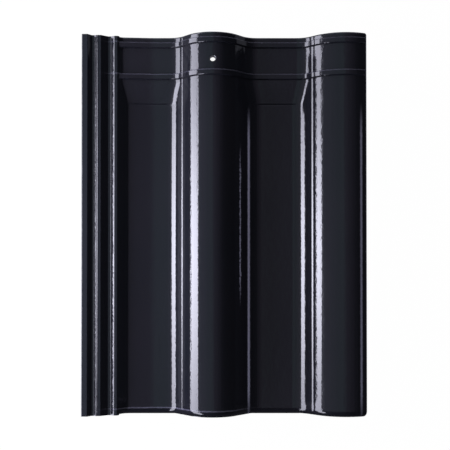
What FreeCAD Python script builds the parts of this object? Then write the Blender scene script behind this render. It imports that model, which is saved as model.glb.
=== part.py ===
"""Interlocking double-roll roof pantile of glazed clay, pressed and fired as one piece.

Frame in millimetres: X across the tile (raised underlap at -X, cover roll at +X), Y up the roof
slope (nose at -Y, head with its nail hole at +Y), Z up. The tile lies on a level floor, on the
lip under its nose and on its two nibs, and the origin is at the middle of that floor.
"""
import FreeCAD, Part
import math
import os
import re
import Sketcher

NODE = "pantile"

# Millimetres: two places count as one, step to test for solid
TOUCH = 0.01
PROBE = 0.2

# Cubic millimetres that a cut takes away at least
LEAST_CUT = 1

# Driving dimensions: alias, millimetres or degrees, meaning
SIZES = (
    ("tile_length", 450, "head edge to nose"),
    ("roll_pitch", 154.5, "from one roll to the next, half the cover width"),
    ("side_lap", 26, "width of the next tile's underlap that this tile covers"),
    ("wall", 10, "thickness of pans and rolls"),
    ("roll_height", 36, "crest of the middle roll above the pan floor"),
    ("crest_radius", 38, "outer radius of the middle roll's crest"),
    ("flank_angle", 50, "slope of the middle roll's flanks, degrees"),
    ("cover_height", 34, "crest of the cover roll above the pan floor"),
    ("cover_radius", 50, "outer radius of the cover roll's crest"),
    ("cover_flank", 47, "slope of the cover roll's left flank, degrees"),
    ("flange_angle", 24.5, "slope where the cover roll meets its free edge, degrees"),
    ("flange_run", 3, "straight run between the crest rounding and the free edge, across the tile"),
    ("arris_radius", 4.5, "rounding along the free edge"),
    ("weather_foot", 20, "hollow rounding at the left foot of a roll"),
    ("lee_foot", 22, "hollow rounding at the right foot of the middle roll"),
    ("pan_low", 81.5, "left edge to the lowest line of the left pan"),
    ("pan_radius", 110, "hollow of the left pan"),
    ("bank_rise", 3, "rise of the left pan towards the underlap"),
    ("bank_foot", 5, "hollow rounding where the left pan meets the underlap"),
    ("lap_slope", 45, "slope from the underlap down to the left pan, degrees"),
    ("lap_clearance", 0.8, "play between underlap and cover roll"),
    ("rim_width", 7, "flat top of the outer rim"),
    ("rim_depth", 11, "height of the rim's outer face"),
    ("gutter_start", 11.5, "left edge to the outer gutter"),
    ("gutter_end", 14.2, "left edge to the end of the outer gutter"),
    ("gutter_depth", 6, "outer gutter below the rim"),
    ("ridge_start", 16.6, "left edge to the middle ridge"),
    ("ridge_end", 22, "left edge to the end of the middle ridge"),
    ("ridge_rise", 1.25, "middle ridge above the outer gutter"),
    ("drain_start", 30, "left edge to the inner gutter"),
    ("drain_end", 33.2, "left edge to the end of the inner gutter"),
    ("drain_depth", 11.6, "inner gutter below the rim"),
    ("guard_start", 37.6, "left edge to the inner ridge"),
    ("guard_end", 41, "left edge to the end of the inner ridge"),
    ("guard_rise", 2.8, "inner ridge above the inner gutter"),
    ("lap_join", 43, "left edge to the line where the nose rounding ends"),
    ("lap_rounding", 1, "rounding of the ridges and gutters of the underlap"),
    ("tip_height", 10, "height of the cover roll's free edge"),
    ("tip_width", 3.5, "width of the drip edge under the free edge"),
    ("nose_radius", 8, "rounding of the nose"),
    ("head_radius", 2.5, "rounding of the head edge"),
    ("ramp_start", 54, "head edge to the top of the ramp in the pans"),
    ("ramp_end", 79, "head edge to the foot of the ramp"),
    ("head_raise", 6, "pan floor at the head above the rest of the pan"),
    ("rib_height", 2.5, "head ribs above the surface"),
    ("rib_start", 5.4, "head edge to the first head rib"),
    ("rib_width", 8.2, "width of a head rib at its foot"),
    ("rib_slant", 0.9, "width of each steep side of a head rib"),
    ("rib_bevel", 0.7, "bevel along the top of a head rib"),
    ("rib_sink", 1, "depth of a head rib's foot below the surface"),
    ("rib_spacing", 37.8, "first head rib to the second"),
    ("rib_stop", 2.5, "free edge to the end of the head ribs"),
    ("rib_end_angle", 17, "slope where the head ribs end on the cover roll, degrees"),
    ("rib_root", 4, "depth of the head ribs' underside in the wall"),
    ("lip_depth", 9, "lip under the nose, below the pans"),
    ("lip_length", 11, "length of the lip along the tile"),
    ("nib_width", 32, "width of a nib at its foot"),
    ("nib_length", 16, "length of a nib at its foot"),
    ("nib_draft", 3, "taper of a nib on its two sides"),
    ("nib_bearing", 24, "head edge to the nib face that hangs on the batten"),
    ("nail_diameter", 6.5, "nail hole"),
    ("nail_from_head", 31.6, "head edge to the nail hole"),
    ("nail_rounding", 1, "rounding of the mouth of the nail hole"),
)

doc = FreeCAD.newDocument(NODE)
sheet = doc.addObject("Spreadsheet::Sheet", "sizes")
for row, (alias, size, meaning) in enumerate(SIZES, start=1):
    sheet.set(f"A{row}", alias)
    sheet.set(f"B{row}", str(size))
    sheet.set(f"C{row}", meaning)
    sheet.setAlias(f"B{row}", alias)
doc.recompute()

ALIAS = re.compile(r"\b(" + "|".join(alias for alias, _, _ in SIZES) + r")\b")


def in_sheet(formula):
    """The formula with each size read from the sheet, as an expression binds it."""
    return ALIAS.sub(r"sizes.\1", formula)


def value(formula):
    """The formula's number at the present sizes."""
    return float(sheet.evalExpression(in_sheet(formula)))


# Places across the tile, as formulas of the sizes
LEFT = "(-roll_pitch - side_lap / 2)"
RIGHT = "(roll_pitch + side_lap / 2)"
COVER_ROLL = f"({RIGHT} - cover_radius * sin(flange_angle) - flange_run)"
MIDDLE_ROLL = f"({LEFT} + roll_pitch)"
NEXT_LEFT = f"({LEFT} + 2 * roll_pitch)"
PAN_LOW = f"({LEFT} + pan_low)"
LAP_JOIN = f"({LEFT} + lap_join)"

# Heights above the floor that the tile lies on
PAN = "(wall + lip_depth)"
CREST_CENTRE = f"({PAN} + roll_height - crest_radius)"
COVER_CENTRE = f"({PAN} + cover_height - cover_radius)"
CEILING = f"({PAN} + cover_height - wall)"
RIM = f"({CEILING} - lap_clearance)"
GUTTER = f"({RIM} - gutter_depth)"
RIDGE = f"({GUTTER} + ridge_rise)"
DRAIN = f"({RIM} - drain_depth)"
GUARD = f"({DRAIN} + guard_rise)"
LAP_TOP = f"({GUARD} - (lap_join - guard_end) * tan(lap_slope))"
LAP_UNDER = f"({LAP_TOP} - wall / cos(lap_slope))"
BANK = f"({PAN} + bank_rise)"
BANK_FOOT = f"({LEFT} + guard_end + ({GUARD} - {BANK}) / tan(lap_slope))"

# The rolls: height of the crest's centre, radius of the crest and slope of the flanks
MIDDLE = (CREST_CENTRE, "crest_radius", "flank_angle")
COVER = (COVER_CENTRE, "cover_radius", "cover_flank")


def apex(roll, swell):
    """Height where a roll's two flanks would meet, with the surface swollen outwards."""
    centre, radius, flank = roll
    return f"({centre} + ({radius} + {swell}) / cos({flank}))"


def half_base(roll, swell, floor):
    """Half the width of a roll where its swollen flanks would meet a floor of that height."""
    flank = roll[2]
    return f"(({apex(roll, swell)} - {floor}) / tan({flank}))"


def cover_corner(swell, fall):
    """Point where the cover roll's left flank and its slope towards the free edge would meet."""
    reach = f"(cover_radius + {swell}) / sin(cover_flank + {fall})"
    across = f"({COVER_ROLL} + {reach} * (cos(cover_flank) - cos({fall})))"
    height = f"({COVER_CENTRE} + {reach} * (sin({fall}) + sin(cover_flank)))"
    return across, height


def cover_slope(swell, fall, across):
    """Height of the cover roll's slope towards the free edge, at a place across the tile."""
    drop = f"sin({fall}) * ({across} - {COVER_ROLL})"
    return f"({COVER_CENTRE} + (cover_radius + {swell} - {drop}) / cos({fall}))"


EDGE_TOP = cover_slope("0", "flange_angle", RIGHT)
SEAT_LEFT = f"({NEXT_LEFT} + rim_width + lap_clearance)"


def field_outline(lift, arris):
    """Section of pans and rolls, clockwise from the underlap, with the pans lifted."""
    floor = f"({PAN} + {lift})"
    under = f"({floor} - wall)"
    outer = half_base(MIDDLE, "0", floor)
    inner = half_base(MIDDLE, "-wall", under)
    cover_outer = half_base(COVER, "0", floor)
    cover_inner = half_base(COVER, "-wall", under)
    bank_across = f"({BANK_FOOT} - {lift} / tan(lap_slope))"
    top = [
        (LAP_JOIN, LAP_TOP, None),
        (bank_across, f"({BANK} + {lift})", "bank_foot"),
        (PAN_LOW, floor, "pan_radius"),
        (f"{MIDDLE_ROLL} - {outer}", floor, "weather_foot"),
        (MIDDLE_ROLL, apex(MIDDLE, "0"), "crest_radius"),
        (f"{MIDDLE_ROLL} + {outer}", floor, "lee_foot"),
        (f"{COVER_ROLL} - {cover_outer}", floor, "weather_foot"),
        (*cover_corner("0", "flange_angle"), "cover_radius"),
        (RIGHT, EDGE_TOP, arris),
    ]
    edge_block = [
        (RIGHT, PAN, None),
        (SEAT_LEFT, PAN, None),
        (SEAT_LEFT, CEILING, None),
    ]
    underside = [
        (f"{COVER_ROLL} - (cover_radius - wall) * tan(cover_flank / 2)", CEILING, "cover_radius - wall"),
        (f"{COVER_ROLL} - {cover_inner}", under, "weather_foot + wall"),
        (f"{MIDDLE_ROLL} + {inner}", under, "lee_foot + wall"),
        (MIDDLE_ROLL, apex(MIDDLE, "-wall"), "crest_radius - wall"),
        (f"{MIDDLE_ROLL} - {inner}", under, "weather_foot + wall"),
        (PAN_LOW, under, "pan_radius + wall"),
        (BANK_FOOT, f"{BANK} + {lift} - wall", None),
        (LAP_JOIN, LAP_UNDER, None),
    ]
    return top + edge_block + underside


def seat_outline():
    """Space cut under the cover roll for the next tile's underlap, from the free edge leftwards."""
    outside = f"{RIGHT} + side_lap"
    return [
        (outside, f"{EDGE_TOP} - tip_height", None),
        (outside, "0", None),
        (COVER_ROLL, "0", None),
        (SEAT_LEFT, CEILING, None),
        (f"{NEXT_LEFT} + gutter_start + lap_clearance", f"{GUTTER} + lap_clearance", None),
        (f"{NEXT_LEFT} + gutter_end - lap_clearance", f"{GUTTER} + lap_clearance", None),
        (f"{NEXT_LEFT} + ridge_start - lap_clearance", f"{RIDGE} + lap_clearance", None),
        (f"{RIGHT} - tip_width", f"{RIDGE} + lap_clearance", None),
        (RIGHT, f"{EDGE_TOP} - tip_height", None),
    ]


def lap_outline():
    """Section of the underlap, clockwise from its rim: gutters and ridges under the next roll."""
    return [
        (LEFT, RIM, "lap_rounding"),
        (f"{LEFT} + rim_width", RIM, "lap_rounding"),
        (f"{LEFT} + gutter_start", GUTTER, "lap_rounding"),
        (f"{LEFT} + gutter_end", GUTTER, "lap_rounding"),
        (f"{LEFT} + ridge_start", RIDGE, "lap_rounding"),
        (f"{LEFT} + ridge_end", RIDGE, "lap_rounding"),
        (f"{LEFT} + drain_start", DRAIN, "lap_rounding"),
        (f"{LEFT} + drain_end", DRAIN, "lap_rounding"),
        (f"{LEFT} + guard_start", GUARD, "lap_rounding"),
        (f"{LEFT} + guard_end", GUARD, "lap_rounding"),
        (LAP_JOIN, LAP_TOP, None),
        (LAP_JOIN, LAP_UNDER, None),
        (LEFT, f"{RIM} - rim_depth", None),
    ]


def wave(swell, start, stop):
    """Corners along the raised head of the tile, from the underlap to near the free edge."""
    floor = f"({PAN} + head_raise + {swell})"
    outer = half_base(MIDDLE, swell, floor)
    bank = f"({floor} + ({PAN_LOW} - {start}) * bank_rise / ({PAN_LOW} - {BANK_FOOT}))"
    return [
        (start, bank, None),
        (PAN_LOW, floor, f"pan_radius - {swell}"),
        (f"{MIDDLE_ROLL} - {outer}", floor, f"weather_foot - {swell}"),
        (MIDDLE_ROLL, apex(MIDDLE, swell), f"crest_radius + {swell}"),
        (f"{MIDDLE_ROLL} + {outer}", floor, f"lee_foot - {swell}"),
        (f"{COVER_ROLL} - {half_base(COVER, swell, floor)}", floor, f"weather_foot - {swell}"),
        (*cover_corner(swell, "rib_end_angle"), f"cover_radius + {swell}"),
        (stop, cover_slope(swell, "rib_end_angle", stop), None),
    ]


def rib_outline(swell):
    """Section of a head rib: a strap over the waves, rooted in the wall."""
    start = f"({LEFT} + (guard_start + guard_end) / 2)"
    stop = f"({RIGHT} - rib_stop)"
    return wave(swell, start, stop) + wave("(-rib_root)", start, stop)[::-1]


def lip_outline():
    """Section of the lip under the nose: left pan, middle roll and right pan, down to the floor."""
    root = f"({PAN} - wall / 2)"
    outer = half_base(MIDDLE, "(-wall / 2)", root)
    inner = half_base(MIDDLE, "-wall", f"({PAN} - wall)")
    end = f"{COVER_ROLL} - {half_base(COVER, '0', PAN)}"
    return [
        (BANK_FOOT, root, None),
        (f"{MIDDLE_ROLL} - {outer}", root, None),
        (MIDDLE_ROLL, apex(MIDDLE, "(-wall / 2)"), "crest_radius - wall / 2"),
        (f"{MIDDLE_ROLL} + {outer}", root, None),
        (end, root, None),
        (end, "0", None),
        (f"{MIDDLE_ROLL} + {inner}", "0", "lee_foot + wall"),
        (MIDDLE_ROLL, f"{apex(MIDDLE, '-wall')} - lip_depth", "crest_radius - wall"),
        (f"{MIDDLE_ROLL} - {inner}", "0", "weather_foot + wall"),
        (BANK_FOOT, "0", None),
    ]


def nib_outline():
    """Section of a nib under the left pan, narrower towards the floor."""
    root = f"({PAN} + head_raise - wall / 2)"
    return [
        (f"{PAN_LOW} - nib_width / 2", root, None),
        (f"{PAN_LOW} + nib_width / 2", root, None),
        (f"{PAN_LOW} + nib_width / 2 - nib_draft", "0", None),
        (f"{PAN_LOW} - nib_width / 2 + nib_draft", "0", None),
    ]


def draw_outline(sketch, corners):
    """Draw a closed outline of straight runs, each corner with a radius rounded by a tangent arc."""
    points = [FreeCAD.Vector(value(across), value(height), 0) for across, height, _ in corners]
    count = len(corners)
    arrive = list(points)
    leave = list(points)
    arcs = {}
    for i, (_, _, radius) in enumerate(corners):
        if radius is None:
            continue
        back = (points[i - 1] - points[i]).normalize()
        ahead = (points[(i + 1) % count] - points[i]).normalize()
        half_angle = back.getAngle(ahead) / 2
        size = value(radius)
        run = size / math.tan(half_angle)
        arrive[i] = points[i] + back * run
        leave[i] = points[i] + ahead * run
        centre = points[i] + (back + ahead).normalize() * (size / math.sin(half_angle))
        turns_left = back.cross(ahead).z < 0
        first, last = (arrive[i], leave[i]) if turns_left else (leave[i], arrive[i])
        angles = [math.atan2(end.y - centre.y, end.x - centre.x) for end in (first, last)]
        circle = Part.Circle(centre, FreeCAD.Vector(0, 0, 1), size)
        arcs[i] = (Part.ArcOfCircle(circle, *angles), turns_left)
    sides = [Part.LineSegment(leave[i], arrive[(i + 1) % count]) for i in range(count)]
    sketch.addGeometry(sides, False)
    bounds = []
    rules = []

    def dimension(constraint, name, formula):
        bounds.append((len(rules), name, formula))
        rules.append(constraint)

    for i, (across, height, radius) in enumerate(corners):
        before = (i - 1) % count
        if radius is None:
            rules.append(Sketcher.Constraint("Coincident", before, 2, i, 1))
            corner = i
        else:
            arc, turns_left = arcs[i]
            arc_id = sketch.addGeometry(arc, False)
            corner = sketch.addGeometry(Part.Point(points[i]), True)
            enter, exit_ = (1, 2) if turns_left else (2, 1)
            rules.append(Sketcher.Constraint("Tangent", before, 2, arc_id, enter))
            rules.append(Sketcher.Constraint("Tangent", arc_id, exit_, i, 1))
            rules.append(Sketcher.Constraint("PointOnObject", corner, 1, before))
            rules.append(Sketcher.Constraint("PointOnObject", corner, 1, i))
            dimension(Sketcher.Constraint("Radius", arc_id, value(radius)), f"radius{i}", radius)
        dimension(Sketcher.Constraint("DistanceX", -1, 1, corner, 1, points[i].x), f"across{i}", across)
        dimension(Sketcher.Constraint("DistanceY", -1, 1, corner, 1, points[i].y), f"height{i}", height)
    sketch.addConstraint(rules)
    for index, name, formula in bounds:
        sketch.renameConstraint(index, name)
        sketch.setExpression(f"Constraints.{name}", in_sheet(formula))


body = doc.addObject("PartDesign::Body", NODE)
body.Label = NODE
origin = {feature.Role: feature for feature in body.Origin.OriginFeatures}


def section(name, from_head, corners):
    """A sketch across the tile, at a distance from its head edge."""
    sketch = body.newObject("Sketcher::SketchObject", name)
    sketch.AttachmentSupport = (origin["XZ_Plane"], [""])
    sketch.MapMode = "FlatFace"
    sketch.setExpression("AttachmentOffset.Base.z", in_sheet(f"({from_head}) - tile_length / 2"))
    draw_outline(sketch, corners)
    return sketch


def pad(name, sketch, length):
    """Extrude a section towards the nose."""
    feature = body.newObject("PartDesign::Pad", name)
    feature.Profile = sketch
    feature.setExpression("Length", in_sheet(length))
    doc.recompute()
    return feature


def loft(name, sketches):
    """Join sections by straight-ruled faces."""
    feature = body.newObject("PartDesign::AdditiveLoft", name)
    feature.Profile = sketches[0]
    feature.Sections = sketches[1:]
    feature.Ruled = True
    doc.recompute()
    return feature


def pattern(name, feature, axis, spacing, backwards=False):
    """Repeat a feature once, further along an axis of the tile or back against it."""
    repeat = body.newObject("PartDesign::LinearPattern", name)
    repeat.Originals = [feature]
    repeat.Direction = (origin[axis], [""])
    repeat.Mode = "Spacing"
    repeat.Occurrences = 2
    repeat.Reversed = backwards
    repeat.setExpression("Offset", in_sheet(spacing))
    body.Tip = repeat
    doc.recompute()
    return repeat


def round_edges(name, base, radius, wanted):
    """Round those edges of the base feature that the test picks."""
    names = [f"Edge{i}" for i, edge in enumerate(base.Shape.Edges, start=1) if wanted(edge)]
    feature = body.newObject("PartDesign::Fillet", name)
    feature.Base = (base, names)
    feature.Refine = False
    feature.setExpression("Radius", in_sheet(radius))
    doc.recompute()
    return feature


def upper_edges_at(shape, along):
    """Test for the edges along the top of an end face: solid below them and none above."""
    probe = FreeCAD.Vector(0, 0, PROBE)
    inwards = FreeCAD.Vector(0, -math.copysign(PROBE, along), 0)

    def wanted(edge):
        box = edge.BoundBox
        on_end_face = abs(box.YMin - along) < TOUCH and abs(box.YMax - along) < TOUCH
        if not on_end_face or box.XLength < TOUCH:
            return False
        middle = edge.valueAt((edge.FirstParameter + edge.LastParameter) / 2) + inwards
        solid_below = shape.isInside(middle - probe, TOUCH, True)
        return solid_below and not shape.isInside(middle + probe, TOUCH, True)

    return wanted


# Pans and rolls from the foot of the ramp to the nose, with the nose and the free edge rounded
head_line = value("tile_length / 2")
free_edge = value(RIGHT)
field = pad("Field", section("FieldSection", "ramp_end", field_outline("0", None)), "tile_length - ramp_end")
nose = round_edges("NoseRounding", field, "nose_radius", upper_edges_at(field.Shape, -head_line))
free_edge_top = value(EDGE_TOP)


def along_free_edge(edge):
    """True for the long top arris of the free edge."""
    box = edge.BoundBox
    on_side = box.XMin > free_edge - TOUCH and abs(box.ZMax - free_edge_top) < TOUCH
    return on_side and box.YLength > head_line


edge_rounding = round_edges("FreeEdgeRounding", nose, "arris_radius", along_free_edge)

# Ramp and raised head
loft("Ramp", [
    section("RampFoot", "ramp_end", field_outline("0", "arris_radius")),
    section("RampTop", "ramp_start", field_outline("head_raise", "arris_radius")),
])
head = pad("Head", section("HeadSection", "0", field_outline("head_raise", "arris_radius")), "ramp_start")
head_rounding = round_edges("HeadRounding", head, "head_radius", upper_edges_at(head.Shape, head_line))

# Seat for the next tile's underlap, cut along the whole cover roll
seat = body.newObject("PartDesign::Pocket", "UnderlapSeat")
seat.Profile = section("SeatSection", "-side_lap", seat_outline())
seat.setExpression("Length", in_sheet("tile_length + 2 * side_lap"))
seat.Reversed = True
doc.recompute()
if seat.Shape.Volume > head_rounding.Shape.Volume - LEAST_CUT:
    raise RuntimeError("the underlap seat cuts nothing")

# Underlap along the whole left side
pad("Underlap", section("UnderlapSection", "0", lap_outline()), "tile_length")

# Two ribs across the head
sunk = rib_outline("(-rib_sink)")
bevelled = rib_outline("(rib_height - rib_bevel)")
full = rib_outline("rib_height")
rib_end = "rib_start + rib_width"
rib = loft("HeadRib", [
    section("RibFoot", "rib_start", sunk),
    section("RibBevel", "rib_start + rib_slant", bevelled),
    section("RibTop", "rib_start + rib_slant + rib_bevel", full),
    section("RibTopEnd", f"{rib_end} - rib_slant - rib_bevel", full),
    section("RibBevelEnd", f"{rib_end} - rib_slant", bevelled),
    section("RibFootEnd", rib_end, sunk),
])
pattern("HeadRibs", rib, "Y_Axis", "rib_spacing", backwards=True)

# Lip under the nose
pad("NoseLip", section("LipSection", "tile_length - lip_length", lip_outline()), "lip_length")

# Two nibs that hang on the batten
nib = pad("Nib", section("NibSection", "nib_bearing - nib_length", nib_outline()), "nib_length")
nibs = pattern("Nibs", nib, "X_Axis", "roll_pitch")

# Nail hole through the crest of the middle roll
drilling = body.newObject("Sketcher::SketchObject", "NailCircle")
drilling.AttachmentSupport = (origin["XY_Plane"], [""])
drilling.MapMode = "FlatFace"
nail_along = "tile_length / 2 - nail_from_head"
nail_place = FreeCAD.Vector(value(MIDDLE_ROLL), value(nail_along), 0)
nail_circle = Part.Circle(nail_place, FreeCAD.Vector(0, 0, 1), value("nail_diameter / 2"))
drilling.addGeometry(nail_circle, False)
drilling.addConstraint([
    Sketcher.Constraint("DistanceX", -1, 1, 0, 3, nail_place.x),
    Sketcher.Constraint("DistanceY", -1, 1, 0, 3, nail_place.y),
    Sketcher.Constraint("Diameter", 0, value("nail_diameter")),
])
nail_sizes = (("nail_across", MIDDLE_ROLL), ("nail_along", nail_along), ("nail_bore", "nail_diameter"))
for index, (name, formula) in enumerate(nail_sizes):
    drilling.renameConstraint(index, name)
    drilling.setExpression(f"Constraints.{name}", in_sheet(formula))
undrilled = nibs.Shape.Volume
nail_hole = body.newObject("PartDesign::Pocket", "NailHole")
nail_hole.Profile = drilling
nail_hole.setExpression("Length", in_sheet(f"{PAN} + roll_height + wall"))
nail_hole.Reversed = True
doc.recompute()
if nail_hole.Shape.Volume > undrilled - LEAST_CUT:
    raise RuntimeError("the nail hole cuts nothing")


def hole_mouth(edge):
    """True for the upper edge of the nail hole."""
    box = edge.BoundBox
    round_hole = abs(box.XLength - value("nail_diameter")) < TOUCH
    on_top = box.ZMin > value(f"{PAN} + roll_height - wall / 2")
    return round_hole and on_top and abs(box.Center.x - nail_place.x) < TOUCH


mouth = round_edges("NailMouth", nail_hole, "nail_rounding", hole_mouth)

for item in doc.Objects:
    if "Invalid" in item.State or "Error" in item.State:
        raise RuntimeError(f"{item.Label} failed: {item.State}")
shape = body.Shape
if shape.isNull() or not shape.isValid() or len(shape.Solids) != 1:
    raise RuntimeError("the tile is not one valid solid")
os.makedirs("parts", exist_ok=True)
shape.exportStep(f"parts/{body.Label}.step")
box = shape.BoundBox
print(f"{NODE}: {box.XLength:.2f} x {box.YLength:.2f} x {box.ZLength:.2f} mm, {shape.Volume / 1000:.0f} cm3")
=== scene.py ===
"""Glazed roof pantile and its studio, laid out as an add-on and run as a script."""
import math

import bpy
import numpy as np
from bpy.props import FloatProperty, PointerProperty, StringProperty
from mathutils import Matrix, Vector, noise


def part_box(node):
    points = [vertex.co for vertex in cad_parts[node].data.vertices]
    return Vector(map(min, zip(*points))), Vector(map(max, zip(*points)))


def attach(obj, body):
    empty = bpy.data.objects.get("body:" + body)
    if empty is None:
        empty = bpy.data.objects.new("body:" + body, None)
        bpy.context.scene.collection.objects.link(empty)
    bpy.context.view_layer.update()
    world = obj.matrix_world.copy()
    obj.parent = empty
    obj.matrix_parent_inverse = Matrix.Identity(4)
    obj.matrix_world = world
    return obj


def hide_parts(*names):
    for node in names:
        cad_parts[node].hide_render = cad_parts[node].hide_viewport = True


bl_info = {
    "name": "Glazed roof pantile",
    "version": (1, 0, 0),
    "blender": (4, 5, 0),
    "location": "View3D > Sidebar > Pantile",
    "description": "Glazed double-roll roof pantile on a plain studio floor",
    "category": "Object",
}

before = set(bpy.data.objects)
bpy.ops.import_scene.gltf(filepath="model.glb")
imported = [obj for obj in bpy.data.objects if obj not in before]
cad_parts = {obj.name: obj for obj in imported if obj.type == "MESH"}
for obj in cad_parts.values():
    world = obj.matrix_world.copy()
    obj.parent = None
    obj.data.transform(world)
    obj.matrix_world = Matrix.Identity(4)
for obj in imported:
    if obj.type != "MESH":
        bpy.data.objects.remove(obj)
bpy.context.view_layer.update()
LOW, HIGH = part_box("pantile")

MM = 0.001
NODE = "pantile"
PIECE = "glazed_pantile"
GLAZE_LAYER = "glaze_cover"


class PantileShape(bpy.types.PropertyGroup):
    """Fine relief that firing and glazing leave on the pressed tile."""

    row_spacing: FloatProperty(
        name="Row spacing",
        description="Distance between the rows of vertices along the tile",
        default=5 * MM,
        unit="LENGTH",
    )
    column_spacing: FloatProperty(
        name="Column spacing",
        description="Distance between the columns of vertices across the tile",
        default=2.5 * MM,
        unit="LENGTH",
    )
    crease_middle: FloatProperty(
        name="Crease of the middle roll",
        description="Place across the tile of the fine ledge on the left flank of the middle roll",
        default=-49.5 * MM,
        unit="LENGTH",
    )
    crease_cover: FloatProperty(
        name="Crease of the cover roll",
        description="Place across the tile of the fine ledge on the left flank of the cover roll",
        default=104.8 * MM,
        unit="LENGTH",
    )
    crease_ridge: FloatProperty(
        name="Crease of the underlap",
        description="Place across the tile of the fine ledge on the underlap's middle ridge",
        default=-149.6 * MM,
        unit="LENGTH",
    )
    crease_reach: FloatProperty(
        name="Crease reach",
        description="Distance from the middle of a broad ledge to where it ends",
        default=2.4 * MM,
        unit="LENGTH",
    )
    crease_depth: FloatProperty(
        name="Crease depth",
        description="How far the deepest ledge stands proud on one side and sinks on the other",
        default=0.42 * MM,
        unit="LENGTH",
    )
    crease_fade: FloatProperty(
        name="Crease fade",
        description="Share of their depth that the ledges lose towards the ends of the tile",
        default=0.25,
        min=0,
        max=1,
        subtype="FACTOR",
    )
    hollow_place: FloatProperty(
        name="Hollow",
        description="Place across the tile of the shallow hollow over the left foot of the cover roll",
        default=98.0 * MM,
        unit="LENGTH",
    )
    hollow_reach: FloatProperty(
        name="Hollow reach",
        description="Distance from the middle of the shallow hollow to where it ends",
        default=4.0 * MM,
        unit="LENGTH",
    )
    hollow_depth: FloatProperty(
        name="Hollow depth",
        description="Depth of the shallow hollow over the left foot of the cover roll",
        default=0.64 * MM,
        unit="LENGTH",
    )
    step_depth: FloatProperty(
        name="Ramp step",
        description="Height of the fine step at the foot of the ramps in the pans",
        default=0.33 * MM,
        unit="LENGTH",
    )
    step_reach: FloatProperty(
        name="Ramp step reach",
        description="Distance from the middle of the fine step to where it ends",
        default=2.0 * MM,
        unit="LENGTH",
    )
    waviness: FloatProperty(
        name="Waviness",
        description="Height of the slow unevenness that pressing and firing leave",
        default=0.05 * MM,
        unit="LENGTH",
    )
    rim_wear: FloatProperty(
        name="Rim roughness",
        description="Depth of the small chips along the outer edge of the underlap",
        default=0.5 * MM,
        unit="LENGTH",
    )


class PantileFinish(bpy.types.PropertyGroup):
    """Colours and surface of the glaze and the bare clay."""

    glaze: StringProperty(
        name="Glaze",
        description="Colour of the blue-black glaze, sRGB hex",
        default="#0e1014",
    )
    glaze_thin: StringProperty(
        name="Thin glaze",
        description="Colour where the glaze runs thin over the clay, sRGB hex",
        default="#141318",
    )
    # Colour of the painted highlights: light lines laid into the glaze's colour in place of reflections
    painted_highlight_colour: StringProperty(
        name="Painted highlight",
        description="Colour of the painted highlight lines in the glaze, sRGB hex",
        default="#8f8da2",
    )
    clay: StringProperty(
        name="Clay",
        description="Colour of the bare fired clay, sRGB hex",
        default="#8f4f38",
    )
    clay_dark: StringProperty(
        name="Dark clay",
        description="Colour of the darker flashes in the fired clay, sRGB hex",
        default="#6d3a2b",
    )
    peel_size: FloatProperty(
        name="Orange peel",
        description="Size of the fine dimples in the glaze",
        default=2.6 * MM,
        unit="LENGTH",
    )
    peel_height: FloatProperty(
        name="Orange peel height",
        description="Height of the fine dimples in the glaze",
        default=0.09 * MM,
        unit="LENGTH",
    )
    ripple_size: FloatProperty(
        name="Ripple",
        description="Size of the broad ripples in the glaze",
        default=9 * MM,
        unit="LENGTH",
    )
    ripple_height: FloatProperty(
        name="Ripple height",
        description="Height of the broad ripples in the glaze",
        default=0.1 * MM,
        unit="LENGTH",
    )
    gloss_roughness: FloatProperty(
        name="Glaze roughness",
        description="Roughness of the glossy glaze",
        default=0.1,
        min=0,
        max=1,
        subtype="FACTOR",
    )


class PantileStudio(bpy.types.PropertyGroup):
    """Camera and lights."""

    camera_height: FloatProperty(
        name="Camera height",
        description="Camera above the floor",
        default=1.1411,
        unit="LENGTH",
    )
    camera_along: FloatProperty(
        name="Camera place",
        description="Camera along the tile, towards the head",
        default=-61.0 * MM,
        unit="LENGTH",
    )
    camera_tilt: FloatProperty(
        name="Camera tilt",
        description="Turn of the camera towards the head",
        default=math.radians(0.716),
        subtype="ANGLE",
    )
    lens: FloatProperty(
        name="Lens",
        description="Focal length in millimetres on a 36 mm sensor",
        default=74.87,
    )
    shift_across: FloatProperty(
        name="Shift across",
        description="Sideways shift of the lens",
        default=0.0026,
    )
    shift_along: FloatProperty(
        name="Shift along",
        description="Upward shift of the lens",
        default=0.0889,
    )
    key_strength: FloatProperty(
        name="Key panel",
        description="Strength of the long glowing panel on the left, in its brightest place",
        default=23.0,
    )
    dome_strength: FloatProperty(
        name="Dome",
        description="Strength of the soft grey dome that the glaze mirrors",
        default=1.0,
    )
    fill_strength: FloatProperty(
        name="Fill",
        description="Strength of the even light from all sides",
        default=0.7,
    )


def linear(code):
    """Linear colour with alpha, from an sRGB hex value."""
    parts = [int(code[i:i + 2], 16) / 255 for i in (1, 3, 5)]
    curve = [part / 12.92 if part <= 0.04045 else ((part + 0.055) / 1.055) ** 2.4 for part in parts]
    return (*curve, 1.0)


def add_node(tree, kind, values=None, **settings):
    """Add a shader node, set its properties, and give each named input a number or a link."""
    node = tree.nodes.new(kind)
    for name, setting in settings.items():
        setattr(node, name, setting)
    for name, entry in (values or {}).items():
        socket = node.inputs[name]
        if isinstance(entry, bpy.types.NodeSocket):
            tree.links.new(entry, socket)
        else:
            socket.default_value = entry
    return node


def new_material(name):
    """An empty node material and its tree."""
    material = bpy.data.materials.new(name)
    material.use_nodes = True
    material.node_tree.nodes.clear()
    return material, material.node_tree
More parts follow.
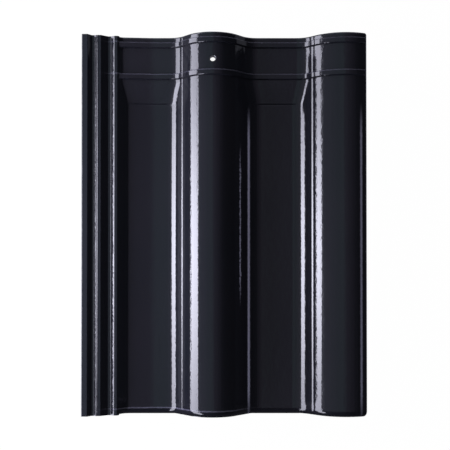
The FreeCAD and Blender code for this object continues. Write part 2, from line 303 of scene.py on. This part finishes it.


# Painted highlight lines, light streaks laid into the glaze's colour in place of reflections: the axis
# across the line and the place on it, half width, fray, share of the highlight colour, then middle and half
# length along the line. They lie on the middle roll's right side, beside the free edge, on the ribs of the
# head and on the nose.
PAINTED_HIGHLIGHT_LINES = (
    ("X", 19.4 * MM, 1.1 * MM, 1.4 * MM, 0.75, 0 * MM, 100 * MM),
    ("X", 29.7 * MM, 2.2 * MM, 0.5 * MM, 0.95, -45 * MM, 190 * MM),
    ("X", 160.4 * MM, 2.1 * MM, 0.5 * MM, 0.55, -45 * MM, 190 * MM),
    ("Y", HIGH.y - 6.4 * MM, 1.3 * MM, 0.5 * MM, 0.12, 22 * MM, 175 * MM),
    ("Y", HIGH.y - 44.2 * MM, 1.3 * MM, 0.5 * MM, 0.16, 22 * MM, 175 * MM),
    ("Y", LOW.y + 7.5 * MM, 1.3 * MM, 0.5 * MM, 0.16, -55 * MM, 100 * MM),
)
# Length over which a painted highlight line fades at its ends, and grain of its frayed sides
HIGHLIGHT_LINE_FADE = 45 * MM
HIGHLIGHT_LINE_GRAIN = 2.5 * MM

# Between these two values lies most of a noise pattern
NOISE_LOW = 0.3
NOISE_HIGH = 0.7

# Sizes of the patterns: drift of the glaze's tone, flashes and grit of the clay, blotches of overspray
DRIFT_SIZE = 80 * MM
FLASH_SIZE = 30 * MM
GRIT_SIZE = 1.2 * MM
GRIT_HEIGHT = 0.25 * MM
BLOTCH_SIZE = 5 * MM

# Tone of the clay between dark and light grit
GRIT_DARK = 0.82
GRIT_LIGHT = 1.1

# Sum of cover and blotches from which there is some glaze, and from which it is whole
GLAZE_START = 0.85
GLAZE_WHOLE = 1.05

# Drift of the glaze's roughness, as shares of it, and the matt clay's roughness
SHEEN_LOW = 0.8
SHEEN_HIGH = 1.25
CLAY_ROUGHNESS = 0.82
GLAZE_IOR = 1.5


def painted_highlights(tree, place):
    """Share of painted highlight over the tile: light lines on its arrises, with frayed sides and faded
    ends.
    """
    parts = add_node(tree, "ShaderNodeSeparateXYZ", {"Vector": place})
    grain = add_node(tree, "ShaderNodeTexNoise", {"Vector": place, "Scale": 1 / HIGHLIGHT_LINE_GRAIN, "Detail": 2.0})
    total = 0.0
    for axis, line_place, half_width, fray, share, middle, half_length in PAINTED_HIGHLIGHT_LINES:
        other = "Y" if axis == "X" else "X"
        beside = add_node(tree, "ShaderNodeMath", {
            0: parts.outputs[axis],
            1: line_place,
        }, operation="SUBTRACT")
        away = add_node(tree, "ShaderNodeMath", {0: beside.outputs["Value"]}, operation="ABSOLUTE")
        ragged = add_node(tree, "ShaderNodeMapRange", {
            "Value": grain.outputs["Fac"],
            "From Min": NOISE_LOW,
            "From Max": NOISE_HIGH,
            "To Min": -fray / 2,
            "To Max": fray / 2,
        })
        side = add_node(tree, "ShaderNodeMath", {
            0: away.outputs["Value"],
            1: ragged.outputs["Result"],
        }, operation="ADD")
        inside = add_node(tree, "ShaderNodeMapRange", {
            "Value": side.outputs["Value"],
            "From Min": half_width,
            "From Max": 0.0,
            "To Max": share,
        }, interpolation_type="SMOOTHSTEP")
        ahead = add_node(tree, "ShaderNodeMath", {0: parts.outputs[other], 1: middle}, operation="SUBTRACT")
        distance = add_node(tree, "ShaderNodeMath", {0: ahead.outputs["Value"]}, operation="ABSOLUTE")
        within = add_node(tree, "ShaderNodeMapRange", {
            "Value": distance.outputs["Value"],
            "From Min": half_length,
            "From Max": half_length - HIGHLIGHT_LINE_FADE,
        }, interpolation_type="SMOOTHSTEP")
        line = add_node(tree, "ShaderNodeMath", {
            0: inside.outputs["Result"],
            1: within.outputs["Result"],
        }, operation="MULTIPLY")
        both = add_node(tree, "ShaderNodeMath", {0: line.outputs["Value"], 1: total}, operation="ADD")
        total = both.outputs["Value"]
    return total


def glazed_clay_material(finish):
    """Pressed clay, sprayed with a gloss glaze and fired.

    The glaze is near black with a blue cast and mirrors the studio; light lines of painted highlight are
    laid into its colour.
    It lies in fine orange peel and broad ripples, which fray the edges of every reflection. The back is
    bare red clay, matt and grainy.
    """
    material, tree = new_material("gloss glaze on fired clay")
    place = add_node(tree, "ShaderNodeTexCoord").outputs["Object"]
    cover = add_node(tree, "ShaderNodeAttribute", attribute_name=GLAZE_LAYER).outputs["Fac"]

    # The glaze's tone drifts over a hand's width, and painted highlights lie on it as thin light lines
    drift = add_node(tree, "ShaderNodeTexNoise", {"Vector": place, "Scale": 1 / DRIFT_SIZE, "Detail": 2.0})
    even_glaze = add_node(tree, "ShaderNodeMix", {
        "Factor": drift.outputs["Fac"],
        "A": linear(finish.glaze),
        "B": linear(finish.glaze_thin),
    }, data_type="RGBA")
    glaze = add_node(tree, "ShaderNodeMix", {
        "Factor": painted_highlights(tree, place),
        "A": even_glaze.outputs["Result"],
        "B": linear(finish.painted_highlight_colour),
    }, data_type="RGBA")

    # Fired clay: dark flashes over a finger's width, and grit of about a millimetre
    flash = add_node(tree, "ShaderNodeTexNoise", {"Vector": place, "Scale": 1 / FLASH_SIZE, "Detail": 5.0})
    grit = add_node(tree, "ShaderNodeTexNoise", {"Vector": place, "Scale": 1 / GRIT_SIZE, "Detail": 3.0})
    clay = add_node(tree, "ShaderNodeMix", {
        "Factor": flash.outputs["Fac"],
        "A": linear(finish.clay),
        "B": linear(finish.clay_dark),
    }, data_type="RGBA")
    grain = add_node(tree, "ShaderNodeMapRange", {
        "Value": grit.outputs["Fac"],
        "From Min": NOISE_LOW,
        "From Max": NOISE_HIGH,
        "To Min": GRIT_DARK,
        "To Max": GRIT_LIGHT,
    })
    speckled = add_node(tree, "ShaderNodeMix", {
        "Factor": 1.0,
        "A": clay.outputs["Result"],
        "B": grain.outputs["Result"],
    }, data_type="RGBA", blend_type="MULTIPLY")

    # Overspray: the glaze frays out over the back in blotches of a few millimetres
    blotch = add_node(tree, "ShaderNodeTexNoise", {
        "Vector": place,
        "Scale": 1 / BLOTCH_SIZE,
        "Detail": 4.0,
    })
    frayed = add_node(tree, "ShaderNodeMath", {0: cover, 1: blotch.outputs["Fac"]}, operation="ADD")
    glazed = add_node(tree, "ShaderNodeMapRange", {
        "Value": frayed.outputs["Value"],
        "From Min": GLAZE_START,
        "From Max": GLAZE_WHOLE,
    })
    colour = add_node(tree, "ShaderNodeMix", {
        "Factor": glazed.outputs["Result"],
        "A": speckled.outputs["Result"],
        "B": glaze.outputs["Result"],
    }, data_type="RGBA")

    # Roughness: glossy with slow drift on the glaze, matt on the clay
    sheen = add_node(tree, "ShaderNodeMapRange", {
        "Value": drift.outputs["Fac"],
        "From Min": NOISE_LOW,
        "From Max": NOISE_HIGH,
        "To Min": finish.gloss_roughness * SHEEN_LOW,
        "To Max": finish.gloss_roughness * SHEEN_HIGH,
    })
    roughness = add_node(tree, "ShaderNodeMix", {
        "Factor": glazed.outputs["Result"],
        "A": CLAY_ROUGHNESS,
        "B": sheen.outputs["Result"],
    })

    # Relief: orange peel over ripples on the glaze, grit on the clay
    peel = add_node(tree, "ShaderNodeTexNoise", {
        "Vector": place,
        "Scale": 1 / finish.peel_size,
        "Detail": 1.5,
    })
    ripple = add_node(tree, "ShaderNodeTexNoise", {
        "Vector": place,
        "Scale": 1 / finish.ripple_size,
        "Detail": 1.0,
    })
    rippled = add_node(tree, "ShaderNodeBump", {
        "Height": ripple.outputs["Fac"],
        "Strength": glazed.outputs["Result"],
        "Distance": finish.ripple_height,
    })
    peeled = add_node(tree, "ShaderNodeBump", {
        "Height": peel.outputs["Fac"],
        "Strength": glazed.outputs["Result"],
        "Distance": finish.peel_height,
        "Normal": rippled.outputs["Normal"],
    })
    bare = add_node(tree, "ShaderNodeMath", {0: 1.0, 1: glazed.outputs["Result"]}, operation="SUBTRACT")
    gritty = add_node(tree, "ShaderNodeBump", {
        "Height": grit.outputs["Fac"],
        "Strength": bare.outputs["Value"],
        "Distance": GRIT_HEIGHT,
        "Normal": peeled.outputs["Normal"],
    })
    shader = add_node(tree, "ShaderNodeBsdfPrincipled", {
        "Base Color": colour.outputs["Result"],
        "Roughness": roughness.outputs["Result"],
        "Normal": gritty.outputs["Normal"],
        "IOR": GLAZE_IOR,
    })
    add_node(tree, "ShaderNodeOutputMaterial", {"Surface": shader.outputs["BSDF"]})
    return material


# Paper floor: its two tones and its fibre, and the dim grey that it shows in the glaze
PAPER_DARK = "#8c8c8e"
PAPER_LIGHT = "#939395"
PAPER_FIBRE = 3 * MM
PAPER_MIRRORED = "#8a8c98"
# Share of that grey which is left before the nose
PAPER_NOSE_SHARE = 0.12
# To the camera the floor is this share of plain white, and the rest takes the tile's shade
PAPER_WHITE_SHARE = 0.97
# Strength at which the floor clear of the tile renders as full white
PAPER_WHITE = 1.02


def paper_material():
    """Matt studio paper, drawn white to the camera, with the faint shade that the tile throws on it.

    In the glaze it shows as the dim grey that paper has outside the light's reach.
    """
    material, tree = new_material("white studio paper")
    place = add_node(tree, "ShaderNodeTexCoord").outputs["Object"]
    fibre = add_node(tree, "ShaderNodeTexNoise", {"Vector": place, "Scale": 1 / PAPER_FIBRE, "Detail": 3.0})
    tone = add_node(tree, "ShaderNodeMix", {
        "Factor": fibre.outputs["Fac"],
        "A": linear(PAPER_DARK),
        "B": linear(PAPER_LIGHT),
    }, data_type="RGBA")
    paper = add_node(tree, "ShaderNodeBsdfDiffuse", {"Color": tone.outputs["Result"]})
    white = add_node(tree, "ShaderNodeEmission", {"Color": (1, 1, 1, 1), "Strength": PAPER_WHITE})
    parts = add_node(tree, "ShaderNodeSeparateXYZ", {"Vector": place})
    reach = add_node(tree, "ShaderNodeMapRange", {
        "Value": parts.outputs["Y"],
        "From Min": LOW.y,
        "From Max": LOW.y / 2,
        "To Min": PAPER_NOSE_SHARE,
        "To Max": 1.0,
    })
    dim = add_node(tree, "ShaderNodeEmission", {
        "Color": linear(PAPER_MIRRORED),
        "Strength": reach.outputs["Result"],
    })
    path = add_node(tree, "ShaderNodeLightPath")
    seen = add_node(tree, "ShaderNodeMath", {
        0: path.outputs["Is Camera Ray"],
        1: path.outputs["Is Transmission Ray"],
    }, operation="MAXIMUM")
    share = add_node(tree, "ShaderNodeMath", {
        0: seen.outputs["Value"],
        1: PAPER_WHITE_SHARE,
    }, operation="MULTIPLY")
    unseen = add_node(tree, "ShaderNodeMixShader", {
        0: path.outputs["Is Glossy Ray"],
        1: paper.outputs["BSDF"],
        2: dim.outputs["Emission"],
    })
    surface = add_node(tree, "ShaderNodeMixShader", {
        0: share.outputs["Value"],
        1: unseen.outputs["Shader"],
        2: white.outputs["Emission"],
    })
    add_node(tree, "ShaderNodeOutputMaterial", {"Surface": surface.outputs["Shader"]})
    return material


def only(item):
    """Select this object alone and make it active."""
    bpy.ops.object.select_all(action="DESELECT")
    item.select_set(True)
    bpy.context.view_layer.objects.active = item


# Nearness at which two points of the pressed tile's loose triangles are one
MERGE_DISTANCE = 0.001 * MM


def copy_of_node():
    """A merged copy of the pressed tile, ready for fine relief."""
    piece = bpy.data.objects.new(PIECE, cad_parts[NODE].data.copy())
    piece.data.name = PIECE
    piece.data.materials.clear()
    bpy.context.scene.collection.objects.link(piece)
    only(piece)
    bpy.ops.mesh.customdata_custom_splitnormals_clear()
    bpy.ops.object.mode_set(mode="EDIT")
    bpy.ops.mesh.select_all(action="SELECT")
    bpy.ops.mesh.remove_doubles(threshold=MERGE_DISTANCE)
    bpy.ops.object.mode_set(mode="OBJECT")
    return piece


# Axes across and along the tile
ACROSS = 0
ALONG = 1


def cut_lines(axis, places):
    """Cut the active mesh, in edit mode, by planes across an axis at these places."""
    normal = [0.0, 0.0, 0.0]
    normal[axis] = 1.0
    for place in places:
        point = [0.0, 0.0, 0.0]
        point[axis] = place
        bpy.ops.mesh.select_all(action="SELECT")
        bpy.ops.mesh.bisect(plane_co=point, plane_no=normal)


def even_places(low, high, spacing):
    """Evenly spaced places between two ends, which are left out."""
    count = max(1, round((high - low) / spacing))
    return [low + (high - low) * i / count for i in range(1, count)]


# Where lines of vertices lie in a ledge, in the hollow and in the ramps' step, in shares of its reach
RELIEF_LINES = (-1.5, -1.0, -0.75, -0.5, -0.25, 0.0, 0.25, 0.5, 0.75, 1.0, 1.5)
# The underlap's ledge is narrower, shallower and turned round, and the cover roll's is shallower
RIDGE_REACH_SHARE = 0.5
RIDGE_DEPTH_SHARE = -0.4
COVER_DEPTH_SHARE = 0.65


def creases(shape):
    """The fine ledges that the press leaves along the tile: place across it, reach and signed depth."""
    reach = shape.crease_reach
    depth = shape.crease_depth
    return (
        (shape.crease_ridge, RIDGE_REACH_SHARE * reach, RIDGE_DEPTH_SHARE * depth),
        (shape.crease_middle, reach, depth),
        (shape.crease_cover, reach, COVER_DEPTH_SHARE * depth),
    )


def crease_rise(place, shape):
    """Rise of the surface by the ledges: proud on the left and sunk on the right of each, or turned round.

    The ledges are sharpest in the middle of the tile and fade towards its ends.
    """
    rise = 0.0
    for line, reach, depth in creases(shape):
        share = (place.x - line) / reach
        if abs(share) < 1:
            rise -= depth * math.sin(math.pi * share)
    return rise * (1 - shape.crease_fade * min(1.0, abs(place.y) / HIGH.y) ** 2)


# Rows along the tile where its section is exact: the ramps' foot and top, and the start of the rounded nose
RAMP_FOOT = HIGH.y - 79 * MM
RAMP_TOP = HIGH.y - 54 * MM
NOSE_START = LOW.y + 8 * MM
# Rise of the ramps in the middle of a pan
RAMP_RISE = 6 * MM
# Length over which the shallow hollow runs out before the ramps
HOLLOW_FADE = 20 * MM
# Share of the ramps' rise from which the fine step at their foot begins, towards the middle of a pan
STEP_START = 0.8
# Where the underlap ends across the tile, and the level above which the ramps leave the rolls alone
LAP_END = LOW.x + 43.5 * MM
ROLL_LEVEL = 37 * MM
# Nearness at which a vertex lies on a row, and the least upward part of a normal on the weather side
TOUCH = 0.02 * MM
WEATHER_SIDE = 0.15
# How far a facet may lie from the smooth section that it stands for
FACET_SLACK = 0.2 * MM


def with_normals(mesh):
    """Each vertex with a copy of its normal, taken before any vertex moves."""
    normals = [Vector(item.vector) for item in mesh.vertex_normals]
    return zip(mesh.vertices, normals)


def section_points(mesh, along, lowest=0.0):
    """The pressed section's points at one row along the tile, above a level, by their place across it."""
    points = {}
    for vertex, normal in with_normals(mesh):
        place = vertex.co
        if abs(place.y - along) < TOUCH and normal.z > WEATHER_SIDE:
            if place.x > LAP_END and place.z > lowest:
                points[round(place.x / TOUCH)] = (place.x, place.z)
    return points


def section_curve(points):
    """Smooth cubic curve through a section's points, as a function of the place across the tile."""
    across, height = np.array(sorted(points.values())).T
    angle = np.arctan2(np.diff(height), np.diff(across))
    length = np.hypot(np.diff(height), np.diff(across))
    mean = (angle[:-1] * length[:-1] + angle[1:] * length[1:]) / (length[:-1] + length[1:])
    slope = np.tan(np.concatenate((angle[:1], mean, angle[-1:])))

    def curve(x):
        i = min(max(int(np.searchsorted(across, x)) - 1, 0), len(across) - 2)
        step = across[i + 1] - across[i]
        t = min(max((x - across[i]) / step, 0.0), 1.0)
        start = height[i] * (1 + 2 * t) * (1 - t) ** 2 + step * slope[i] * t * (1 - t) ** 2
        return start + height[i + 1] * t * t * (3 - 2 * t) - step * slope[i + 1] * t * t * (1 - t)

    return curve


def section_curves(mesh):
    """Smooth sections of the field and of the raised head, which share the crests of the rolls."""
    crests = section_points(mesh, NOSE_START, ROLL_LEVEL)
    return [section_curve({**section_points(mesh, row), **crests}) for row in (RAMP_FOOT, RAMP_TOP)]


def round_facets(mesh, field, head):
    """Lift the cut vertices of the weather side from the facets onto the smooth sections."""
    for vertex, normal in with_normals(mesh):
        place = vertex.co
        if normal.z < WEATHER_SIDE or place.x < LAP_END or place.y < NOSE_START - TOUCH:
            continue
        if place.y < RAMP_FOOT + TOUCH or place.z > ROLL_LEVEL:
            smooth = field(place.x)
        elif place.y > RAMP_TOP - TOUCH:
            smooth = head(place.x)
        else:
            continue
        if abs(smooth - place.z) < FACET_SLACK:
            place.z = smooth


def hollow_rise(place, shape):
    """Rise of the surface by the shallow hollow, which is below it and runs out before the ramps."""
    share = (place.x - shape.hollow_place) / shape.hollow_reach
    if abs(share) > 1:
        return 0.0
    fade = min(1.0, max(0.0, (RAMP_FOOT - place.y) / HOLLOW_FADE))
    return -fade * shape.hollow_depth * (1 + math.cos(math.pi * share)) / 2


def step_rise(place, field, head, shape):
    """Rise of the surface by the fine step at the foot of the ramps, which ends where the ramps do."""
    share = (place.y - RAMP_FOOT) / shape.step_reach
    if abs(share) > 1 or place.x < LAP_END:
        return 0.0
    lift = (head(place.x) - field(place.x)) / RAMP_RISE
    ramp = min(1.0, max(0.0, (lift - STEP_START) / (1 - STEP_START)))
    return ramp * shape.step_depth * math.sin(math.pi * share)


# Size of the slow waves across and along the tile
WAVE_ACROSS = 45 * MM
WAVE_ALONG = 70 * MM
# Band along the underlap's outer edge that is chipped, and the size of the chips along it and up it
CHIP_BAND = 1.6 * MM
CHIP_LENGTH = 5 * MM
CHIP_HEIGHT = 8 * MM


def relief(piece, shape, field, head):
    """Move the vertices: ledges, hollow, ramp steps and waves on the weather side, and a chipped rim."""
    for vertex, normal in with_normals(piece.data):
        place = vertex.co.copy()
        if normal.z > WEATHER_SIDE:
            slow = Vector((place.x / WAVE_ACROSS, place.y / WAVE_ALONG, 0.0))
            vertex.co.z += crease_rise(place, shape) + hollow_rise(place, shape)
            vertex.co.z += step_rise(place, field, head, shape) + shape.waviness * noise.noise(slow)
        edge = place.x - LOW.x
        if edge < CHIP_BAND:
            chips = noise.noise(Vector((0.0, place.y / CHIP_LENGTH, place.z / CHIP_HEIGHT)))
            vertex.co.x += shape.rim_wear * max(0.0, chips) * (1 - edge / CHIP_BAND)


# Width of the overspray on the back and the most that it covers
OVERSPRAY_REACH = 14 * MM
OVERSPRAY_SHARE = 0.62
# The glaze turns round the edges until the normal's upward part is this far below level, over this range
GLAZE_TURN_END = 0.35
GLAZE_TURN_RANGE = 0.3


def glaze_cover(piece):
    """Store how far the glaze covers each vertex: all over the weather side, fraying out on the back."""
    mesh = piece.data
    layer = mesh.attributes.new(GLAZE_LAYER, "FLOAT", "POINT")
    cover = []
    for vertex, normal in with_normals(mesh):
        place = vertex.co
        margin = min(place.x - LOW.x, HIGH.x - place.x, place.y - LOW.y, HIGH.y - place.y)
        overspray = max(0.0, 1 - margin / OVERSPRAY_REACH)
        facing = min(1.0, max(0.0, (normal.z + GLAZE_TURN_END) / GLAZE_TURN_RANGE))
        cover.append(max(facing, OVERSPRAY_SHARE * overspray))
    layer.data.foreach_set("value", np.array(cover, np.float32))


# Folds sharper than this stay sharp
FOLD_ANGLE = math.radians(38)


def soften(piece):
    """Smooth the shading across gentle folds and keep the flats flat."""
    only(piece)
    bpy.ops.object.shade_smooth_by_angle(angle=FOLD_ANGLE)
    bpy.ops.object.modifier_add(type="WEIGHTED_NORMAL")
    piece.modifiers[-1].keep_sharp = True
    bpy.ops.object.modifier_apply(modifier=piece.modifiers[-1].name)


class PANTILE_OT_tile(bpy.types.Operator):
    """Give the pressed tile its fine relief, its glaze and its bare clay back"""

    bl_idname = "pantile.tile"
    bl_label = "Glazed tile"

    def execute(self, context):
        shape = context.scene.pantile_shape
        piece = copy_of_node()
        field, head = section_curves(piece.data)
        bpy.ops.object.mode_set(mode="EDIT")
        for line, reach, _ in creases(shape):
            cut_lines(ACROSS, [line + share * reach for share in RELIEF_LINES])
        cut_lines(ACROSS, [shape.hollow_place + share * shape.hollow_reach for share in RELIEF_LINES])
        cut_lines(ACROSS, even_places(LOW.x, HIGH.x, shape.column_spacing))
        cut_lines(ALONG, [RAMP_FOOT + share * shape.step_reach for share in RELIEF_LINES])
        rows = shape.row_spacing * 1
        cut_lines(ALONG, even_places(LOW.y, HIGH.y, rows))
        bpy.ops.object.mode_set(mode="OBJECT")
        round_facets(piece.data, field, head)
        relief(piece, shape, field, head)
        glaze_cover(piece)
        soften(piece)
        piece.data.materials.append(glazed_clay_material(context.scene.pantile_finish))
        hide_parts(NODE)
        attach(piece, "root")
        return {"FINISHED"}


# Upright softbox on the left: place of its middle, height, length and turn, in metres and radians
PANEL_PLACE = (-0.32, -0.025, 0.16)
PANEL_HEIGHT = 0.20
PANEL_LENGTH = 1.6
PANEL_TURN = math.radians(90)
PANEL_COLOUR = "#e8e8fa"
# Its light falls to the end share at the hot reach from its middle, and fades to nothing below its top
PANEL_HOT_REACH = 0.3
PANEL_END_SHARE = 0.42
PANEL_TOP_FADE = 0.03
# Share of its light in a ray that the glaze has reflected twice, so that no second image shows
TWICE_SHARE = 0.2


def panel_material(strength):
    """Lit front of the softbox: brightest in the middle of its length, fading out towards its top."""
    material, tree = new_material("softbox cloth")
    place = add_node(tree, "ShaderNodeTexCoord").outputs["Object"]
    parts = add_node(tree, "ShaderNodeSeparateXYZ", {"Vector": place})
    away = add_node(tree, "ShaderNodeMath", {0: parts.outputs["Y"]}, operation="ABSOLUTE")
    along = add_node(tree, "ShaderNodeMapRange", {
        "Value": away.outputs["Value"],
        "From Min": 0.0,
        "From Max": PANEL_HOT_REACH,
        "To Min": strength,
        "To Max": strength * PANEL_END_SHARE,
    }, interpolation_type="SMOOTHSTEP")
    upwards = add_node(tree, "ShaderNodeMapRange", {
        "Value": parts.outputs["X"],
        "From Min": -PANEL_HEIGHT / 2,
        "From Max": PANEL_TOP_FADE - PANEL_HEIGHT / 2,
    }, interpolation_type="SMOOTHSTEP")
    level = add_node(tree, "ShaderNodeMath", {
        0: along.outputs["Result"],
        1: upwards.outputs["Result"],
    }, operation="MULTIPLY")
    path = add_node(tree, "ShaderNodeLightPath")
    once = add_node(tree, "ShaderNodeMapRange", {
        "Value": path.outputs["Glossy Depth"],
        "From Min": 1.0,
        "From Max": 2.0,
        "To Min": 1.0,
        "To Max": TWICE_SHARE,
    })
    left = add_node(tree, "ShaderNodeMath", {
        0: level.outputs["Value"],
        1: once.outputs["Result"],
    }, operation="MULTIPLY")
    glow = add_node(tree, "ShaderNodeEmission", {
        "Color": linear(PANEL_COLOUR),
        "Strength": left.outputs["Value"],
    })
    add_node(tree, "ShaderNodeOutputMaterial", {"Surface": glow.outputs["Emission"]})
    return material


def softbox_panel(strength):
    """The long upright softbox on the left of the tile, which faces it."""
    bpy.ops.object.select_all(action="DESELECT")
    bpy.ops.mesh.primitive_plane_add(size=1.0, location=PANEL_PLACE, rotation=(0.0, PANEL_TURN, 0.0))
    panel = bpy.context.object
    panel.name = "key_panel"
    panel.scale = (PANEL_HEIGHT, PANEL_LENGTH, 1.0)
    bpy.ops.object.transform_apply(location=False, rotation=False, scale=True)
    panel.data.materials.append(panel_material(strength))
    panel.visible_camera = False


def fill_ramp(ramp, stops):
    """Set the stops of a colour ramp node: places from 0 to 1 and sRGB hex colours."""
    elements = ramp.color_ramp.elements
    elements[0].position, elements[0].color = stops[0][0], linear(stops[0][1])
    elements[1].position, elements[1].color = stops[-1][0], linear(stops[-1][1])
    for position, code in stops[1:-1]:
        element = elements.new(position)
        element.color = linear(code)


# Grey of the dome's middle at its plain strength, and colour of the even fill
DOME_GREY = "#949494"
FILL_COLOUR = "#e6e8ee"
# What the glaze mirrors, from left to right over the dome and from the nose's side to the head's
ACROSS_STOPS = (
    (0.0, "#888c94"),
    (0.12, "#9094a0"),
    (0.35, "#84909a"),
    (0.47, "#8c9ca6"),
    (0.53, "#787484"),
    (0.68, "#5c5868"),
    (0.8, "#2c2c34"),
    (1.0, "#18181c"),
)
ALONG_STOPS = (
    (0.0, "#202020"),
    (0.28, "#383838"),
    (0.36, DOME_GREY),
    (0.78, DOME_GREY),
    (0.9, "#ffffff"),
    (1.0, "#ffffff"),
)


def studio_world(studio):
    """Soft grey dome that the glaze mirrors, an even fill, and white to the camera."""
    world = bpy.data.worlds.new("studio dome")
    bpy.context.scene.world = world
    world.use_nodes = True
    tree = world.node_tree
    tree.nodes.clear()
    place = add_node(tree, "ShaderNodeTexCoord").outputs["Generated"]
    parts = add_node(tree, "ShaderNodeSeparateXYZ", {"Vector": place})
    ramps = []
    for axis, stops in (("X", ACROSS_STOPS), ("Y", ALONG_STOPS)):
        share = add_node(tree, "ShaderNodeMapRange", {
            "Value": parts.outputs[axis],
            "From Min": -1.0,
            "From Max": 1.0,
        })
        ramp = add_node(tree, "ShaderNodeValToRGB", {"Fac": share.outputs["Result"]})
        fill_ramp(ramp, stops)
        ramps.append(ramp.outputs["Color"])
    tone = add_node(tree, "ShaderNodeMix", {"Factor": 1.0, "A": ramps[0], "B": ramps[1]},
                    data_type="RGBA", blend_type="MULTIPLY")
    dome = add_node(tree, "ShaderNodeBackground", {
        "Color": tone.outputs["Result"],
        "Strength": studio.dome_strength / linear(DOME_GREY)[0],
    })
    fill = add_node(tree, "ShaderNodeBackground", {
        "Color": linear(FILL_COLOUR),
        "Strength": studio.fill_strength,
    })
    white = add_node(tree, "ShaderNodeBackground", {"Color": (1, 1, 1, 1), "Strength": 1.0})
    path = add_node(tree, "ShaderNodeLightPath")
    mirrored = add_node(tree, "ShaderNodeMixShader", {
        0: path.outputs["Is Glossy Ray"],
        1: fill.outputs["Background"],
        2: dome.outputs["Background"],
    })
    seen = add_node(tree, "ShaderNodeMixShader", {
        0: path.outputs["Is Camera Ray"],
        1: mirrored.outputs["Shader"],
        2: white.outputs["Background"],
    })
    add_node(tree, "ShaderNodeOutputWorld", {"Surface": seen.outputs["Shader"]})


# Side of the square floor in metres, and width of the camera's sensor in millimetres
FLOOR_SIZE = 6.0
SENSOR_WIDTH = 36.0


class PANTILE_OT_stage(bpy.types.Operator):
    """Lay the paper floor, hang the lights and set up the camera"""

    bl_idname = "pantile.stage"
    bl_label = "Studio"

    def execute(self, context):
        studio = context.scene.pantile_studio
        bpy.ops.object.select_all(action="DESELECT")
        bpy.ops.mesh.primitive_plane_add(size=FLOOR_SIZE, location=(0.0, 0.0, 0.0))
        floor = bpy.context.object
        floor.name = "studio_floor"
        floor.data.materials.append(paper_material())
        softbox_panel(studio.key_strength)
        studio_world(studio)
        bpy.ops.object.camera_add(
            location=(0.0, studio.camera_along, studio.camera_height),
            rotation=(studio.camera_tilt, 0.0, 0.0),
        )
        camera = bpy.context.object
        camera.name = "photo_camera"
        camera.data.sensor_width = SENSOR_WIDTH
        camera.data.lens = studio.lens
        camera.data.shift_x = studio.shift_across
        camera.data.shift_y = studio.shift_along
        context.scene.camera = camera
        context.scene.view_settings.view_transform = "Standard"
        return {"FINISHED"}


class PANTILE_PT_panel(bpy.types.Panel):
    """Buttons that build the tile and its studio, with their sizes and colours"""

    bl_idname = "PANTILE_PT_panel"
    bl_label = "Roof pantile"
    bl_space_type = "VIEW_3D"
    bl_region_type = "UI"
    bl_category = "Pantile"

    def draw(self, context):
        layout = self.layout
        for operator in (PANTILE_OT_tile, PANTILE_OT_stage):
            layout.operator(operator.bl_idname)
        scene = context.scene
        for group in (scene.pantile_shape, scene.pantile_finish, scene.pantile_studio):
            box = layout.box()
            for name in group.__annotations__:
                box.prop(group, name)


CLASSES = (PantileShape, PantileFinish, PantileStudio, PANTILE_OT_tile, PANTILE_OT_stage, PANTILE_PT_panel)


def register():
    """Register the classes and hang the three groups of values on the scene."""
    for item in CLASSES:
        bpy.utils.register_class(item)
    bpy.types.Scene.pantile_shape = PointerProperty(type=PantileShape)
    bpy.types.Scene.pantile_finish = PointerProperty(type=PantileFinish)
    bpy.types.Scene.pantile_studio = PointerProperty(type=PantileStudio)


def unregister():
    """Take the groups of values off the scene and the classes away."""
    del bpy.types.Scene.pantile_studio
    del bpy.types.Scene.pantile_finish
    del bpy.types.Scene.pantile_shape
    for item in reversed(CLASSES):
        bpy.utils.unregister_class(item)


def main():
    """Build the tile and its studio."""
    register()
    bpy.ops.pantile.tile()
    bpy.ops.pantile.stage()


if __name__ == "__main__":
    main()
